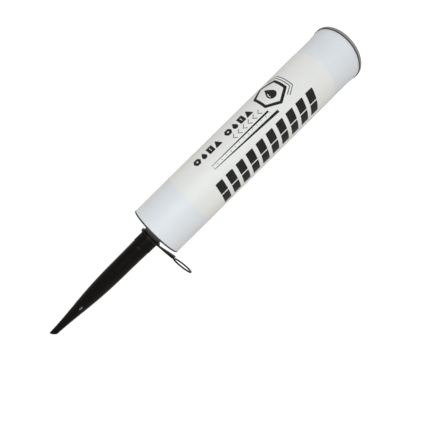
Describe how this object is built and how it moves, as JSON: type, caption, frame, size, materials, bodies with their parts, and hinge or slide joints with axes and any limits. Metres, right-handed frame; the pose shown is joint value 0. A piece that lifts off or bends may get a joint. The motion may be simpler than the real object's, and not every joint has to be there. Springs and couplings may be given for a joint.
{
  "type": "sealant cartridge",
  "caption": "Upright rubber filler cartridge with a labelled tube, rear seam ring, threaded neck, pull ring and long tapered screw-on nozzle.",
  "frame": {"origin": "on the tube's axis, in the plane that the rear seam stands on", "axes": "+Z along the tube's axis towards the nozzle's tip, -X along the pull ring's arm; the label's print faces -Y"},
  "size_m": [0.0722, 0.0518, 0.3452],
  "materials": {
    "tube_board": "wound paperboard with a smooth, glossy, cool white outer ply",
    "liner_foil": "satin foil laminate",
    "seam_metal": "bright rolled tinplate with fine rolling marks",
    "lining_compound": "matt lining compound",
    "label_paper": "coated label paper, warm white with black and grey print",
    "cap_plastic": "dark grey moulded polypropylene, satin",
    "seal_foil": "heat-sealed foil",
    "nozzle_plastic": "black moulded polyethylene, soft gloss",
    "pull_ring_plastic": "black moulded polyethylene, soft gloss",
    "piston_plastic": "natural white polyethylene, matt",
    "sealant_paste": "black paste"
  },
  "bodies": {
    "cartridge": {"cartridge_tube": "tube_board", "foil_liner": "liner_foil", "seam_ring": "seam_metal", "seam_gasket": "lining_compound", "label_wrap": "label_paper", "front_cap": "cap_plastic", "neck_seal": "seal_foil", "sealant": "sealant_paste"},
    "pull_ring": {"pull_ring": "pull_ring_plastic"},
    "nozzle": {"nozzle": "nozzle_plastic"},
    "piston": {"piston": "piston_plastic"}
  },
  "joints": [
    {"name": "nozzle_lift", "type": "slide", "parent": "cartridge", "child": "pull_ring", "axis": [0, 0, 1], "range_m": [0, 0.012]},
    {"name": "nozzle_turn", "type": "hinge", "parent": "pull_ring", "child": "nozzle", "pos_m": [0, 0, 0.233], "axis": [0, 0, 1], "range_deg": [0, 1440]},
    {"name": "piston_travel", "type": "slide", "parent": "cartridge", "child": "piston", "axis": [0, 0, 1], "range_m": [0, 0.174], "deforming": ["sealant"]}
  ],
  "couplings": [
    {"joint": "nozzle_lift", "follows": "nozzle_turn", "m_per_rad": 0.00047746}
  ]
}
